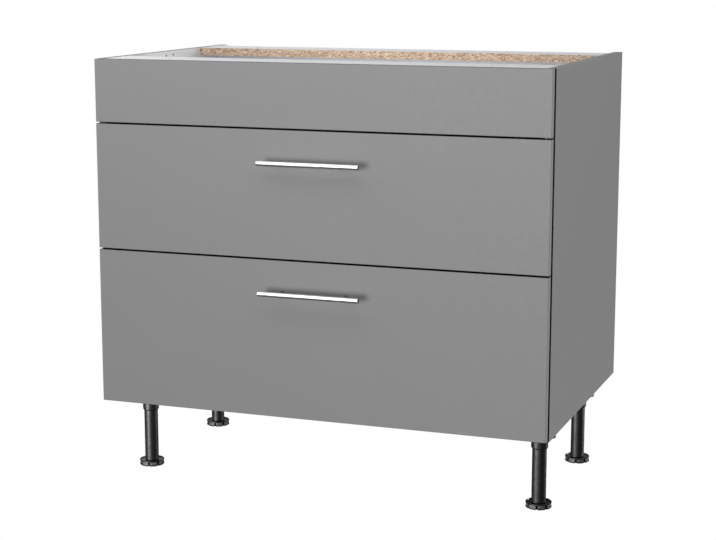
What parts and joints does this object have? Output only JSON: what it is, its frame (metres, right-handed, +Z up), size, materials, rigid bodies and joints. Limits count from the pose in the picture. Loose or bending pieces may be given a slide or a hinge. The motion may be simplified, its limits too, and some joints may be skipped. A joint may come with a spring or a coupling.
{
  "type": "base cabinet with drawers",
  "caption": "Kitchen base cabinet on adjustable legs, with a fixed top panel and two deep drawers on full-extension runners, open at the top for a worktop.",
  "frame": {"origin": "on the floor, under the middle of the whole object's box with the feet screwed right in", "axes": "+X to the right as seen from the front, -Y out of the front (the way the drawers open), +Z up"},
  "size_m": [0.9, 0.619, 0.832],
  "materials": {
    "board_grey": "matt melamine-faced chipboard",
    "board_light": "light melamine-faced chipboard, one raw edge on the rear rail",
    "hardboard_light": "coated thin hardboard",
    "steel_zinc": "zinc plated",
    "zinc_cast": "cast zinc",
    "handle_steel": "satin",
    "steel_bright": "bright zinc plated sheet",
    "steel_light_grey": "powder coated",
    "plastic_black": "moulded, low gloss",
    "dowel_wood": "bare beech",
    "bumper_rubber": "clear soft"
  },
  "bodies": {
    "carcass": {"back_panel": "hardboard_light", "back_panel_screws": "steel_zinc", "bottom_panel": "board_light", "cam_bolts": "steel_zinc", "cam_locks": "zinc_cast", "carcass_dowels": "dowel_wood", "chipboard_screws": "steel_zinc", "fascia_brackets": "steel_bright", "front_bumpers": "bumper_rubber", "front_rail": "board_light", "leg_socket_front_left": "plastic_black", "leg_socket_front_right": "plastic_black", "leg_socket_rear_left": "plastic_black", "leg_socket_rear_right": "plastic_black", "leg_tube_front_left": "plastic_black", "leg_tube_front_right": "plastic_black", "leg_tube_rear_left": "plastic_black", "leg_tube_rear_right": "plastic_black", "rear_rail": "board_light", "runner_rail_lower_left": "steel_bright", "runner_rail_lower_right": "steel_bright", "runner_rail_upper_left": "steel_bright", "runner_rail_upper_right": "steel_bright", "runner_screws": "steel_zinc", "side_panel_left": "board_grey", "side_panel_right": "board_grey", "top_fascia": "board_grey"},
    "drawer_upper": {"drawer_back_upper": "board_light", "drawer_base_upper": "board_light", "drawer_front_upper": "board_grey", "drawer_screws_upper": "steel_zinc", "drawer_side_upper_left": "steel_light_grey", "drawer_side_upper_right": "steel_light_grey", "front_brackets_upper": "steel_light_grey", "gallery_rods_upper": "steel_light_grey", "handle_screws_upper": "steel_zinc", "handle_upper": "handle_steel", "runner_slide_upper_left": "steel_bright", "runner_slide_upper_right": "steel_bright"},
    "drawer_lower": {"drawer_back_lower": "board_light", "drawer_base_lower": "board_light", "drawer_front_lower": "board_grey", "drawer_screws_lower": "steel_zinc", "drawer_side_lower_left": "steel_light_grey", "drawer_side_lower_right": "steel_light_grey", "front_brackets_lower": "steel_light_grey", "gallery_rods_lower": "steel_light_grey", "handle_lower": "handle_steel", "handle_screws_lower": "steel_zinc", "runner_slide_lower_left": "steel_bright", "runner_slide_lower_right": "steel_bright"},
    "runner_mid_upper": {"runner_mid_upper_left": "steel_bright", "runner_mid_upper_right": "steel_bright"},
    "runner_mid_lower": {"runner_mid_lower_left": "steel_bright", "runner_mid_lower_right": "steel_bright"},
    "foot_front_left": {"foot_front_left": "plastic_black"},
    "foot_front_right": {"foot_front_right": "plastic_black"},
    "foot_rear_left": {"foot_rear_left": "plastic_black"},
    "foot_rear_right": {"foot_rear_right": "plastic_black"}
  },
  "joints": [
    {"name": "drawer_upper_slide", "type": "slide", "parent": "carcass", "child": "drawer_upper", "axis": [0, -1, 0], "range_m": [0, 0.45]},
    {"name": "drawer_lower_slide", "type": "slide", "parent": "carcass", "child": "drawer_lower", "axis": [0, -1, 0], "range_m": [0, 0.45]},
    {"name": "runner_mid_upper_slide", "type": "slide", "parent": "carcass", "child": "runner_mid_upper", "axis": [0, -1, 0], "range_m": [0, 0.225]},
    {"name": "runner_mid_lower_slide", "type": "slide", "parent": "carcass", "child": "runner_mid_lower", "axis": [0, -1, 0], "range_m": [0, 0.225]},
    {"name": "foot_front_left_height", "type": "slide", "parent": "carcass", "child": "foot_front_left", "axis": [0, 0, -1], "range_m": [0, 0.025]},
    {"name": "foot_front_right_height", "type": "slide", "parent": "carcass", "child": "foot_front_right", "axis": [0, 0, -1], "range_m": [0, 0.025]},
    {"name": "foot_rear_left_height", "type": "slide", "parent": "carcass", "child": "foot_rear_left", "axis": [0, 0, -1], "range_m": [0, 0.025]},
    {"name": "foot_rear_right_height", "type": "slide", "parent": "carcass", "child": "foot_rear_right", "axis": [0, 0, -1], "range_m": [0, 0.025]}
  ],
  "couplings": [
    {"joint": "runner_mid_upper_slide", "follows": "drawer_upper_slide", "ratio": 0.5},
    {"joint": "runner_mid_lower_slide", "follows": "drawer_lower_slide", "ratio": 0.5}
  ]
}
